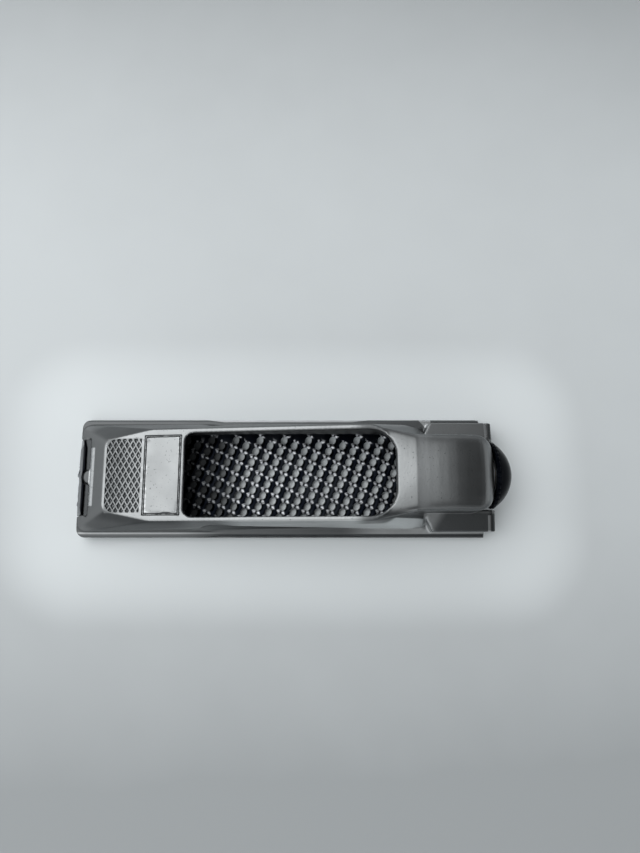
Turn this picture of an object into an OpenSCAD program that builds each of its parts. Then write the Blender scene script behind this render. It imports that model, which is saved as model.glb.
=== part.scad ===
// Pocket rasp for drywall: a die-cast body, a perforated blade hooked round its
// nose, and a bolt with a domed knob that pulls the blade tight.
// X runs from the nose to the knob, Z is up, and the tooth tips stand on Z = 0.

/* [Blade] */
// Width over the two turned-up flanges
blade_w = 41.3; // [39:0.1:44]
// How far the flanges end ahead of the casting's rear end
blade_short = 3; // [2.9:0.1:4]
// Thickness of the strip
blade_t = 0.6; // [0.4:0.1:0.8]
// Height of the flanges above the tooth tips
flange_top = 3.8; // [3:0.1:4.2]
// Outside radius of the bend between floor and flange
flange_r = 1.4; // [1:0.1:1.8]
// Outside radius of the front curl
curl_r = 3.6; // [3:0.1:4]
// Width of the front curl
curl_w = 26.2; // [20:0.1:28]
// Angle at which the front curl ends, past straight up
curl_end = 13; // [5:1:25]
// Width of the rear tongue that the yoke plate pulls on
tongue_w = 17; // [14:0.1:18.5]

/* [Teeth] */
// Height of a tooth below the floor
tooth_h = 0.9; // [0.6:0.1:1.2]
// Radius of the hole in front of a tooth
tooth_hole_r = 1.2; // [0.8:0.05:1.3]
// Radius of the tooth's rounded back
tooth_back_r = 1.4; // [1.3:0.05:1.6]
// How far the rounded back lies behind the hole
tooth_set = 0.38; // [0.3:0.02:0.5]
// Distance along the tool between two slanted rows
row_pitch = 4.35; // [4.1:0.05:5]
// Distance across the tool between two teeth of a row
tooth_pitch = 3.93; // [3.6:0.01:4.4]
// How far a row leans along the tool at each tooth
row_lean = 1.5; // [1.2:0.05:1.8]
// Width of the perforated field
tooth_field_w = 31; // [24:0.5:32]

/* [Body casting] */
// Length from the nose corners to the rear of the cheek blocks
body_l = 143.8; // [142:0.1:145]
// Gap between the nose corners and the foremost tooth
nose_gap = 1.2; // [0.8:0.1:1.5]
// Wall thickness
wall = 2.6; // [2:0.1:3]
// Roof thickness under the deck
roof_t = 2.2; // [1.8:0.1:2.6]
// Height of the ledge above the tooth tips
ledge_top = 5; // [4.8:0.1:5.4]
// Width of the ledge outside the flanks
ledge_w = 1.2; // [0.8:0.1:1.6]
// Chamfer under the ledge
ledge_chamfer = 0.5; // [0.4:0.1:0.8]
// Chamfer along the lip that covers the flanges
lip_chamfer = 0.6; // [0.3:0.1:0.8]
// Radius of the base's front corners
base_r = 3; // [2:0.1:4]

/* [Deck] */
// Distance from the foremost tooth to the deck's front edge
deck_x = 12; // [11:0.1:13]
// Height of the deck's front edge
deck_h = 12.6; // [12:0.1:13.5]
// Slope of the deck
deck_a = 7.85; // [7:0.05:8.5]
// Width of the deck between its flanks
deck_w = 31; // [30:0.1:32]
// Width of the deck at its front edge
deck_front_w = 25; // [23:0.1:27]
// Radius of the deck's front corners
deck_front_r = 3; // [2:0.1:4]

/* [Finger pad and field] */
// Length of the finger pad
pad_l = 12.4; // [10:0.1:12.8]
// Width of the finger pad
pad_w = 25; // [20:0.1:26]
// Radius of the pad's front corners
pad_front_r = 3.5; // [2:0.1:4.5]
// Pitch of the pad's crossing ridges
pad_pitch = 1.75; // [1.4:0.05:2.2]
// Width of a ridge
pad_ridge = 0.55; // [0.4:0.05:0.8]
// Depth of the cells between the ridges
pad_depth = 0.5; // [0.3:0.05:0.8]
// Slant of the ridges from the tool's length
pad_slant = 59; // [50:1:65]
// Width of the line between pad, field and window
field_gap = 0.9; // [0.6:0.1:1.2]
// Depth of the recess round the plain field
field_depth = 0.4; // [0.2:0.05:0.6]

/* [Window] */
// Distance from the foremost tooth to the window
window_x = 40.1; // [39:0.1:42]
// Length of deck left between the window and the palm end
window_gap = 7; // [6.5:0.1:10]
// Width of the window
window_w = 27.9; // [26:0.1:28.2]
// Radius of the front corners
window_front_r = 3; // [2:0.1:4]
// Radius of the rear corners
window_rear_r = 8.5; // [7:0.1:10]

/* [Finger scoops] */
// Distance from the foremost tooth to the deepest place
scoop_x = 51; // [48:0.1:56]
// Radius of the scoop
scoop_r = 10.8; // [9:0.1:13]
// Greatest depth
scoop_depth = 1.4; // [0.8:0.1:1.5]
// Height of the deepest place
scoop_h = 9.6; // [9:0.1:10.5]
// How fast the scoop drops towards the rear
scoop_drop_a = 4.5; // [3.5:0.1:5.5]
// How fast the scoop runs out of the flank
scoop_out_a = 1.2; // [1:0.05:1.6]
// Length over which the scoop takes the lip away
lip_gap_l = 56; // [40:0.5:62]

/* [Palm end] */
// Length from where the deck starts to round over to the rear of the cheek blocks
palm_l = 28; // [27:0.1:30]
// Width of the palm end
palm_w = 24.8; // [24:0.1:25.4]
// Radius of the crest along the tool
crest_r = 58; // [50:0.5:70]
// Radius of the crown across the tool
crown_r = 45; // [38:0.5:60]
// Height over which the palm end's long edges round over
shoulder_drop = 4; // [3:0.1:5]
// Length over which deck and flanks blend into the palm end
blend_l = 16; // [14:0.5:18]
// Height at which the flanks end at the cheek blocks
flank_end_h = 10; // [9:0.1:11]
// Distance from the middle of the tool to the flanks' top edge there
flank_end_y = 14.6; // [14:0.1:15]
// Radius of the roll down to the rear wall
roll_r = 7; // [5.5:0.1:8]
// Radius of the rear corners seen from above
palm_corner_r = 6; // [4:0.1:7]
// Thickness of the rear wall
rear_wall = 2.6; // [2:0.1:3.2]
// How far the cheek blocks reach past the rear wall
block_past = 2.8; // [2:0.1:3.2]
// Height of the cheek blocks at their outer edges
block_h = 10; // [9:0.1:11]
// Slope of their tops
block_fall_a = 6; // [3:0.5:8]
// Length of the cheek blocks
block_l = 23.5; // [22:0.1:24]
// Length of the chamfer at their front corners
block_chamfer = 4; // [3:0.1:5]
// Radius of their rounded rear top edges
block_r = 2; // [1.5:0.1:3]

/* [Tension gear] */
// Bolt diameter
bolt_d = 6; // [5:0.5:6]
// Height of the bolt's axis
bolt_h = 13; // [12.9:0.1:13.6]
// Pitch of the thread
thread_pitch = 1; // [0.8:0.05:1.25]
// Turns that slacken the blade fully
slack_turns = 3; // [2:1:3]
// Bolt head diameter
head_d = 12; // [10:0.1:14]
// Bolt head height
head_h = 2.6; // [2:0.1:3.2]
// Yoke plate thickness
yoke_t = 2; // [1.5:0.1:2.5]
// Yoke plate height
yoke_l = 14; // [13:0.1:15]
// Distance from the rear wall's inner face to the rear tongue
tongue_back = 7; // [5:0.1:8]
// Washer diameter
washer_d = 12; // [11:0.1:12.5]
// Washer thickness
washer_t = 0.8; // [0.5:0.1:1]
// Knob diameter
knob_d = 22.4; // [21.6:0.1:22.8]
// Knob height from skirt to crown
knob_h = 7.1; // [7:0.1:8]
// Height of the knob's skirt
skirt_h = 1.1; // [0.8:0.1:1.5]
// Radius of the knob's dome
dome_r = 12.9; // [12.5:0.1:15]
// Width of the nut across its flats
nut_af = 10; // [9:0.1:10.5]
// Height of the nut
nut_h = 4.2; // [3.6:0.1:4.4]
// Number of grip notches round the skirt
grip_count = 36; // [24:1:40]

/* [Clearances] */
// Between the blade and the casting it lies against
seat_gap = 0.15; // [0.1:0.01:0.2]
// Between bolt and bored wall, washer or nut
bolt_gap = 0.06; // [0.02:0.01:0.1]
// Between pieces that slide or turn past each other
run_gap = 0.3; // [0.2:0.01:0.35]

/* [Hidden] */
$fn = 48;
big = 200;
eps = 0.01;

// Heights and widths that follow from the blade
floor_z = tooth_h;
floor_top = tooth_h + blade_t;
sole_z = floor_top + seat_gap;
base_w = blade_w - 2 * (blade_t + seat_gap);
flank_w = base_w - 2 * ledge_w;

// The front curl and the nose bar that it hooks round share one axis, and the
// foremost corner of a tooth on the curl touches X = 0
curl_x = norm([curl_r + tooth_h, tooth_back_r + tooth_set]);
row_offset = -6.5;
curl_z = floor_z + curl_r;
bar_r = curl_r - blade_t - run_gap;
notch_w = curl_w + 2 * run_gap;

// The nose: its rail stands behind the open end of the curl
rail_x = curl_x + 1;
rail_l = 2.7;
rail_w = notch_w - 6;
rail_h = 9.4;
boss_r = 2.6;
boss_x = curl_x + 1.6;
boss_h = 8.4;
boss_gap = 1;

// Rear stations
body_x = nose_gap;
body_end = body_x + body_l;
palm_x = body_end - palm_l;
block_x = body_end - block_l;
window_l = palm_x - window_gap - window_x;
wall_x = body_end - block_past;
wall_in = wall_x - rear_wall;
tongue_x = wall_in - tongue_back;
tongue_top = bolt_h;
tongue_bend_r = 0.8;
blade_end = body_end - blade_short;
flange_x = curl_x + 1.2;
floor_end = wall_x - run_gap;
flank_end = block_x + 0.3;

// Palm end: crest arc tangent to the deck, then the roll tangent to the rear wall
palm_z = deck_z(palm_x);
crest_x = palm_x + crest_r * sin(deck_a);
crest_z = palm_z - crest_r * cos(deck_a);
roll_x = wall_x - roll_r;
roll_z = crest_z + sqrt(pow(crest_r - roll_r, 2) - pow(roll_x - crest_x, 2));
roll_a = asin((roll_x - crest_x) / (crest_r - roll_r));
blend_x = palm_x - blend_l;

// Tension gear
bolt_r = bolt_d / 2;
bolt_hole_r = bolt_r + bolt_gap;
slack = slack_turns * thread_pitch;
yoke_x = tongue_x - seat_gap - yoke_t;
yoke_w = palm_w - 2 * wall - 2 * run_gap;
neck_w = bolt_d;
knob_x = wall_x + run_gap;
hub_x = wall_x + washer_t + 0.1;
knob_tip = knob_x + knob_h;
dome_x = knob_tip - dome_r;
hub_r = nut_af / 2 / cos(30) + 1.6;
rim_t = 1.6;
rim_hollow = 2.4;
rim_step = 0.25;
bolt_end = hub_x + nut_h + 0.3;

overall_l = knob_tip;

function deck_z(x) = deck_h + (x - deck_x) * tan(deck_a);

// Places a node built from the nose backwards with its middle over the origin
module centred() translate([-overall_l / 2, 0, 0]) children();

// Stands an outline drawn in X and Z up, and gives it a width along Y
module slab(w) rotate([90, 0, 0]) linear_extrude(height = w, center = true) children();

// Lies a shape drawn on the deck's own plane down on the deck
module on_deck(x) translate([x, 0, deck_z(x)]) rotate([0, -deck_a, 0]) children();

// A box centred on Y
module bar(x, z, size) translate([x, -size[1] / 2, z]) cube(size);

// Outline of a rectangle with its own radius at the front and at the rear corners
module rounded_plan(x, l, w, front_r, rear_r) {
    hull() {
        for (s = [-1, 1]) {
            translate([x + front_r, s * (w / 2 - front_r)]) circle(r = front_r);
            translate([x + l - rear_r, s * (w / 2 - rear_r)]) circle(r = rear_r);
        }
    }
}

// The same outline with true arcs, for openings
module cut_plan(x, l, w, front_r, rear_r) {
    for (s = [-1, 1]) {
        translate([x + front_r, s * (w / 2 - front_r)]) circle(r = front_r);
        translate([x + l - rear_r, s * (w / 2 - rear_r)]) circle(r = rear_r);
    }
    translate([x + front_r, -w / 2]) square([l - front_r - rear_r, w]);
    translate([x, front_r - w / 2]) square([2 * front_r, w - 2 * front_r]);
    translate([x + l - 2 * rear_r, rear_r - w / 2]) square([2 * rear_r, w - 2 * rear_r]);
}

// Body casting

// The sloping body: base outline below, narrower sloping deck above
module wedge(inset, top_inset, low) {
    half = flank_w / 2 - inset;
    deck_half = deck_w / 2 - inset;
    front_half = deck_front_w / 2 - inset;
    shoulder_r = 8;
    hull() {
        for (s = [-1, 1]) {
            for (x = [body_x + base_r + inset, flank_end - base_r - inset])
                translate([x, s * (half - base_r), low]) cylinder(r = base_r, h = eps);
            translate([flank_end - 2 - inset, s * (flank_end_y - 2 - inset), flank_end_h - top_inset - eps])
                cylinder(r = 2, h = eps);
            on_deck(deck_x + deck_front_r + inset)
                translate([0, s * (front_half - deck_front_r), -top_inset - eps])
                    cylinder(r = deck_front_r, h = eps);
            on_deck(deck_x + 18)
                translate([0, s * (deck_half - shoulder_r), -top_inset - eps])
                    cylinder(r = shoulder_r, h = eps);
            on_deck(blend_x)
                translate([0, s * (deck_half - shoulder_r), -top_inset - eps])
                    cylinder(r = shoulder_r, h = eps);
        }
    }
}

// Height of the palm end along its middle, its half width and how far it is crowned:
// as wide and flat as the deck where it starts, and fully crowned at the crest
function palm_top(x) =
    x < palm_x ? deck_z(x) :
    x < crest_x + crest_r * sin(roll_a) ? crest_z + sqrt(pow(crest_r, 2) - pow(x - crest_x, 2)) :
    roll_z + sqrt(max(0, pow(roll_r, 2) - pow(x - roll_x, 2)));
function palm_half(x) =
    x < palm_x ? palm_w / 2 + (deck_w - palm_w) / 2 * (palm_x - x) / blend_l :
    x < wall_x - palm_corner_r ? palm_w / 2 :
    palm_w / 2 - palm_corner_r + sqrt(max(0, pow(palm_corner_r, 2) - pow(x - wall_x + palm_corner_r, 2)));
function palm_crowned(x) = min(1, (x - blend_x) / (crest_x - blend_x));

// One section across the palm end: a crown whose long edges round over. It lies a hair
// inside the deck, so that the two have no face in common
module palm_section(x, inset) {
    half = palm_half(x) - inset - 5 * eps;
    crowned = palm_crowned(x);
    edge = max(shoulder_drop - inset, 1) * crowned;
    crest = palm_top(x) - inset - 2 * eps;
    translate([x - (x > palm_x ? inset : 0) + (x > palm_x ? 0 : inset), 0, 0])
        rotate([90, 0, 90]) linear_extrude(height = eps) polygon(concat(
            [[half, inset > 0 ? sole_z - 1 : sole_z], [-half, inset > 0 ? sole_z - 1 : sole_z]],
            [for (a = [-90 : 10 : 90]) let(t = sin(a))
                [t * half, crest - crowned * pow(t * half, 2) / 2 / crown_r - edge * (1 - pow(1 - pow(abs(t), 6), 1 / 6))]]
        ));
}

// The palm end, or with an inset the hollow in it, lofted through its sections
module palm(inset) {
    hull() for (x = [blend_x : blend_l / 4 : palm_x]) palm_section(x, inset);
    hull() {
        for (x = [palm_x : 3 : roll_x]) palm_section(x, inset);
        for (a = [roll_a : (90 - roll_a) / 6 : 90.01]) palm_section(roll_x + roll_r * sin(min(a, 90)), inset);
    }
}

// One cheek block beside the palm end, on the side of s
module cheek_block(s) {
    inner = palm_w / 2 - 1;
    outer = flank_w / 2;
    intersection() {
        translate([0, 0, sole_z]) linear_extrude(height = big) polygon([
            [block_x, s * inner],
            [block_x, s * (outer - block_chamfer)],
            [block_x + block_chamfer / 2, s * outer],
            [body_end, s * outer],
            [body_end, s * inner]
        ]);
        translate([0, s * outer, block_h]) rotate([-s * block_fall_a, 0, 0]) translate([0, 0, -block_h])
            slab(4 * palm_w) union() {
                square([body_end - block_r, block_h]);
                square([body_end, block_h - block_r]);
                translate([body_end - block_r, block_h - block_r]) circle(r = block_r);
            }
    }
}

// The ledge all round, which the blade's flanges enclose. Its lip covers their edges
// and comes down in front of them at the nose corners
module ledge() {
    half = base_w / 2;
    lip = blade_w / 2;
    lip_z = flange_top + seat_gap;
    length = blade_end - body_x;
    intersection() {
        translate([0, 0, sole_z]) linear_extrude(height = ledge_top - sole_z)
            cut_plan(body_x, length, base_w, base_r, base_r);
        // Its lower edges are chamfered to clear the bends of the flanges
        rotate([90, 0, 90]) linear_extrude(height = big) polygon([
            [-half, ledge_top],
            [-half, sole_z + ledge_chamfer],
            [ledge_chamfer - half, sole_z],
            [half - ledge_chamfer, sole_z],
            [half, sole_z + ledge_chamfer],
            [half, ledge_top]
        ]);
    }
    intersection() {
        union() {
            translate([0, 0, lip_z]) linear_extrude(height = ledge_top - lip_z) difference() {
                cut_plan(body_x, length, blade_w, base_r, 1.2);
                for (s = [-1, 1]) translate([scoop_x - 5, s * half]) polygon([
                    [0, s * big],
                    [0, s * (lip - half)],
                    [5, 0],
                    [lip_gap_l - 5, 0],
                    [lip_gap_l, s * (lip - half)],
                    [lip_gap_l, s * big]
                ]);
            }
            translate([0, 0, sole_z]) linear_extrude(height = ledge_top - sole_z) intersection() {
                cut_plan(body_x, length, blade_w, base_r, base_r);
                translate([0, -big / 2]) square([curl_x + 0.1, big]);
            }
        }
        rotate([90, 0, 90]) linear_extrude(height = big) polygon([
            [-lip, 0],
            [-lip, ledge_top - lip_chamfer],
            [lip_chamfer - lip, ledge_top],
            [lip - lip_chamfer, ledge_top],
            [lip, ledge_top - lip_chamfer],
            [lip, 0]
        ]);
    }
}

// The long hollow that one finger finds on each flank
module finger_scoop(s) {
    lean = atan((flank_w - deck_w) / 2 / (deck_z(scoop_x) - ledge_top));
    flank_y = deck_w / 2 + (deck_z(scoop_x) - scoop_h) * tan(lean);
    off = scoop_r - scoop_depth;
    translate([scoop_x, s * (flank_y + off * cos(lean)), scoop_h + off * sin(lean)])
        rotate([0, scoop_drop_a, s * scoop_out_a]) {
            sphere(r = scoop_r);
            rotate([0, 90, 0]) cylinder(r = scoop_r, h = big / 2);
        }
}

// The notch in the nose, with the bar that the blade's curl hooks round
module nose_notch() {
    bar(-1, -1, [rail_x + 1, notch_w, big]);
}

module nose_bar() {
    intersection() {
        union() {
            translate([curl_x, 0, curl_z]) rotate([90, 0, 0])
                cylinder(r = bar_r, h = notch_w + 1, center = true);
            bar(curl_x, sole_z, [rail_x - curl_x + 1, notch_w + 1, curl_z + bar_r - sole_z - 1.4]);
        }
        bar(0, sole_z, [big, big, big]);
    }
    // The bare rail behind the curl, and the half-round boss that centres the blade
    slab(rail_w) polygon([
        [rail_x, curl_z],
        [rail_x, rail_h - 1.6],
        [rail_x + 0.9, rail_h - 0.3],
        [rail_x + 1.6, rail_h],
        [rail_x + rail_l, rail_h],
        [rail_x + rail_l + 2, curl_z]
    ]);
    translate([boss_x, 0, sole_z + 1]) cylinder(r = boss_r, h = boss_h - sole_z - 1);
}

// Crossed ridges leave rows of small diamond cells
module pad_cells() {
    reach = (pad_l + pad_w) / 2;
    count = ceil(reach / pad_pitch);
    difference() {
        rounded_plan(-pad_l / 2, pad_l, pad_w, pad_front_r, 0.6);
        for (side = [-1, 1])
            for (i = [-count : count])
                rotate(side * pad_slant) translate([-reach, i * pad_pitch - pad_ridge / 2])
                    square([2 * reach, pad_ridge]);
    }
}

module finger_pad() {
    pad_mid = deck_x + 0.9 + pad_l / 2;
    on_deck(pad_mid) translate([0, 0, -pad_depth]) linear_extrude(height = 2) pad_cells();
}

// A shallow groove that frames the bare field between pad and window
module field_frame() {
    field_x = deck_x + 0.9 + pad_l + field_gap;
    field_l = window_x - field_gap - field_x;
    field_w = window_w - 1;
    on_deck(field_x) translate([0, 0, -field_depth]) linear_extrude(height = 2) difference() {
        cut_plan(0, field_l, field_w, 0.8, 0.8);
        cut_plan(0.8, field_l - 1.6, field_w - 1.6, 0.6, 0.6);
    }
}

module body_casting() color("#8e9090") centred() difference() {
    union() {
        difference() {
            wedge(0, 0, ledge_top - eps);
            for (s = [-1, 1]) finger_scoop(s);
            nose_notch();
        }
        difference() {
            ledge();
            nose_notch();
        }
        palm(0);
        for (s = [-1, 1]) cheek_block(s);
        nose_bar();
    }
    // The hollow under the deck, the hollow in the palm end and those in the blocks
    difference() {
        wedge(wall, roof_t, sole_z - 1);
        bar(0, 0, [rail_x + rail_l + wall, big, big]);
    }
    palm(wall);
    for (s = [-1, 1]) translate([block_x + wall, s * (palm_w / 2 + flank_w / 2 - wall) / 2, 0])
        bar(0, sole_z - 1, [body_end - block_x - 2 * wall, (flank_w - palm_w) / 2 - wall, block_h - sole_z + 1 - wall]);
    translate([0, 0, ledge_top]) linear_extrude(height = big)
        cut_plan(window_x, window_l, window_w, window_front_r, window_rear_r);
    finger_pad();
    field_frame();
    // Room for the knob between the blocks, and the bore for the bolt
    translate([wall_x, 0, bolt_h]) rotate([0, 90, 0]) cylinder(r = knob_d / 2 + run_gap, h = big);
    translate([wall_in - 1, 0, bolt_h]) rotate([0, 90, 0]) cylinder(r = bolt_hole_r, h = rear_wall + 2);
}

// Rasp blade

// Where tooth j of slanted row i lies on the flat strip
function tooth_at(i, j) = let(k = j - (i % 2) / 2)
    [i * row_pitch + k * row_lean, k * tooth_pitch];

function teeth(from_x, to_x) = [
    for (i = [0 : ceil(blade_end / row_pitch)])
        for (j = [-5 : 6])
            let(p = tooth_at(i, j) + [row_offset, 0])
                if (abs(p[1]) <= tooth_field_w / 2 && p[0] >= from_x && p[0] <= to_x) p
];

function floor_teeth() = teeth(curl_x + tooth_back_r + 0.4, tongue_x - 4);
function curl_teeth() = [
    for (p = teeth(curl_x - 2.1 * (curl_r - blade_t / 2), curl_x - 1))
        if (abs(p[1]) < curl_w / 2 - tooth_back_r) p
];

// A tooth is a rounded back that stands below the floor, cut open by the hole before it
module tooth_backs(points) for (p = points) translate(p + [tooth_set, 0]) circle(r = tooth_back_r);
module tooth_holes(points) for (p = points) translate(p) circle(r = tooth_hole_r);

// Carries a tooth drawn on the flat strip round the front curl
module round_curl(p) {
    turn = (curl_x - p[0]) / (curl_r - blade_t / 2) * 180 / PI;
    translate([curl_x, p[1], curl_z]) rotate([0, turn, 0]) translate([0, 0, -curl_r]) children();
}

// The strip seen from the side: front curl and floor, or floor and rear tongue
module curl_side() {
    difference() {
        translate([curl_x, curl_z]) circle(r = curl_r);
        translate([curl_x, curl_z]) circle(r = curl_r - blade_t);
        polygon([
            [curl_x, curl_z],
            [curl_x - 2 * curl_r * sin(curl_end), curl_z + 2 * curl_r * cos(curl_end)],
            [curl_x + 2 * curl_r, curl_z + 2 * curl_r],
            [curl_x + 2 * curl_r, curl_z - 2 * curl_r],
            [curl_x, curl_z - 2 * curl_r]
        ]);
    }
    translate([curl_x - eps, floor_z]) square([4, blade_t]);
}

module tongue_side() {
    outer = tongue_bend_r + blade_t;
    bend_x = tongue_x + blade_t - outer;
    translate([bend_x, floor_z + outer]) difference() {
        circle(r = outer);
        circle(r = tongue_bend_r);
        translate([-2 * outer, -2 * outer]) square([2 * outer, 4 * outer]);
        translate([-2 * outer, 0]) square(4 * outer);
    }
    translate([tongue_x, floor_z + outer - eps]) square([blade_t, tongue_top - floor_z - outer]);
    translate([bend_x - 2, floor_z]) square([2 + eps, blade_t]);
}

// The strip seen from the front: floor and turned-up flanges. They start behind the
// curl's axis, so that they swing clear of the casting
module channel_front() {
    difference() {
        translate([-blade_w / 2, floor_z]) union() {
            translate([flange_r, 0]) square([blade_w - 2 * flange_r, flange_top - floor_z]);
            translate([0, flange_r]) square([blade_w, flange_top - floor_z - flange_r]);
            for (y = [flange_r, blade_w - flange_r]) translate([y, flange_r]) circle(r = flange_r);
        }
        inner_r = flange_r - blade_t;
        translate([blade_t - blade_w / 2, floor_top]) union() {
            translate([inner_r, 0]) square([blade_w - 2 * flange_r, big]);
            translate([0, inner_r]) square([blade_w - 2 * blade_t, big]);
            for (y = [inner_r, blade_w - 2 * blade_t - inner_r]) translate([y, inner_r]) circle(r = inner_r);
        }
    }
}

module channel() {
    slot_x = tongue_x - tongue_bend_r;
    difference() {
        translate([flange_x, 0, 0]) rotate([90, 0, 90])
            linear_extrude(height = blade_end - flange_x) channel_front();
        // Behind the bend of the rear tongue the floor is open, and its sides end at the rear wall
        bar(slot_x, 0, [big, tongue_w + 2 * run_gap, floor_top + seat_gap]);
        bar(floor_end, 0, [big, base_w - 2, floor_top + seat_gap]);
    }
}

module rasp_blade() color("#77787a") centred() difference() {
    union() {
        channel();
        slab(curl_w) curl_side();
        slab(tongue_w) tongue_side();
        linear_extrude(height = floor_z + blade_t / 2)
            tooth_backs(floor_teeth());
        for (p = curl_teeth()) round_curl(p) translate([tooth_set, 0, -tooth_h]) cylinder(r = tooth_back_r, h = tooth_h + blade_t / 2);
    }
    translate([0, 0, -1]) linear_extrude(height = floor_top + 1 + eps)
        tooth_holes(floor_teeth());
    for (p = curl_teeth()) round_curl(p) translate([0, 0, -tooth_h - 1]) cylinder(r = tooth_hole_r, h = tooth_h + blade_t + 1.2);
    // The teeth at the foot of the curl end level with the others
    bar(-1, -2, [curl_x + tooth_back_r + 3, blade_w, 2]);
    // The notch that takes the nose boss, and the one that straddles the bolt
    translate([boss_x, 0, curl_z]) cylinder(r = boss_r + boss_gap, h = big);
    translate([tongue_x - 1, 0, bolt_h]) rotate([0, 90, 0]) cylinder(r = bolt_r + run_gap, h = blade_t + 2);
}

// Tension gear

// Half of the knob's section: radius along X, height above the wall side along Y
module knob_section() {
    difference() {
        intersection() {
            translate([0, knob_h - dome_r]) circle(r = dome_r);
            square([knob_d / 2 - rim_step, knob_h]);
        }
        square([washer_d / 2 + run_gap, hub_x - knob_x]);
        translate([hub_r, -1]) square([knob_d / 2 - rim_t - hub_r, rim_hollow + 1]);
        square([bolt_hole_r, bolt_end + run_gap - knob_x]);
    }
    translate([knob_d / 2 - rim_t, 0]) square([rim_t, skirt_h]);
}

module tension_knob() color("#17181a") centred() translate([knob_x, 0, bolt_h]) rotate([0, 90, 0]) difference() {
    rotate_extrude() knob_section();
    // Seat of the nut, and grip notches round the skirt
    translate([0, 0, hub_x - knob_x - 1]) cylinder(r = nut_af / 2 / cos(30), h = nut_h + 1, $fn = 6);
    for (i = [0 : grip_count - 1]) rotate([0, 0, i * 360 / grip_count])
        translate([knob_d / 2 + 0.15, 0, -1]) cylinder(r = 0.5, h = skirt_h + 2);
}

module knob_nut() color("#c8a657") centred() translate([hub_x, 0, bolt_h]) rotate([0, 90, 0]) difference() {
    cylinder(r = nut_af / 2 / cos(30), h = nut_h, $fn = 6);
    translate([0, 0, -1]) cylinder(r = bolt_hole_r, h = nut_h + 2);
}

module thrust_washer() color("#b4b6b8") centred() translate([wall_x, 0, bolt_h]) rotate([0, 90, 0]) difference() {
    cylinder(d = washer_d, h = washer_t);
    translate([0, 0, -1]) cylinder(r = bolt_hole_r, h = washer_t + 2);
}

module tension_bolt() color("#a5a7aa") centred() {
    translate([yoke_x, 0, bolt_h]) {
        rotate([0, 90, 0]) cylinder(r = bolt_r, h = bolt_end - yoke_x);
        translate([0, -neck_w / 2, -neck_w / 2]) cube([yoke_t, neck_w, neck_w]);
        intersection() {
            translate([-head_h, 0, 0]) rotate([0, 90, 0]) cylinder(d = head_d, h = head_h);
            translate([head_d - head_h, 0, 0]) sphere(r = head_d);
        }
    }
}

module yoke_plate() color("#9a9c9f") centred() difference() {
    translate([yoke_x, 0, bolt_h]) rotate([90, 0, 90]) linear_extrude(height = yoke_t) difference() {
        translate([-yoke_w / 2, -yoke_l / 2]) union() {
            translate([1.5, 0]) square([yoke_w - 3, yoke_l]);
            translate([0, 1.5]) square([yoke_w, yoke_l - 3]);
            for (y = [1.5, yoke_w - 1.5], z = [1.5, yoke_l - 1.5]) translate([y, z]) circle(r = 1.5);
        }
        square(neck_w, center = true);
    }
}

body_casting();
rasp_blade();
tension_knob();
knob_nut();
thrust_washer();
tension_bolt();
yoke_plate();
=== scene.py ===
"""Pocket rasp for drywall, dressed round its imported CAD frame."""

import math

import bmesh
import bpy
import numpy as np
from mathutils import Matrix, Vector


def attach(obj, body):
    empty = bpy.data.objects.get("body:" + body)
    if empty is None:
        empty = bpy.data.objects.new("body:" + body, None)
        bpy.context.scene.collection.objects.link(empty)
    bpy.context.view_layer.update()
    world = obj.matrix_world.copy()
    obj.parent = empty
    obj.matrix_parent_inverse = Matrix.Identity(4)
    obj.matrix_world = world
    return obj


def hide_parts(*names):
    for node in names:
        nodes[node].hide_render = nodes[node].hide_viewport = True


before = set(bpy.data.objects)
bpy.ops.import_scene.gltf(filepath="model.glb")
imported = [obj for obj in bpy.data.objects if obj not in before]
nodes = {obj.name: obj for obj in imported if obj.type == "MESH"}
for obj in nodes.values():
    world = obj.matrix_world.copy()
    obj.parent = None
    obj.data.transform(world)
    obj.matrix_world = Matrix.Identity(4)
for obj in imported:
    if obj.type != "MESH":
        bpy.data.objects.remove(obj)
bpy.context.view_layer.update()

# Camera
# A phone held over the table, almost straight above the tool and tilted a
# little towards its far side.
bpy.context.scene.view_settings.view_transform = "Standard"
lens = bpy.data.cameras.new("camera")
lens.lens = 27.05
lens.sensor_width = 36
lens.clip_start = 0.01
camera = bpy.data.objects.new("camera", lens)
camera.location = (0.0107, -0.02193, 0.2289)
camera.rotation_euler = (math.radians(10.17), 0, 0)
bpy.context.collection.objects.link(camera)
bpy.context.scene.camera = camera


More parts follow.
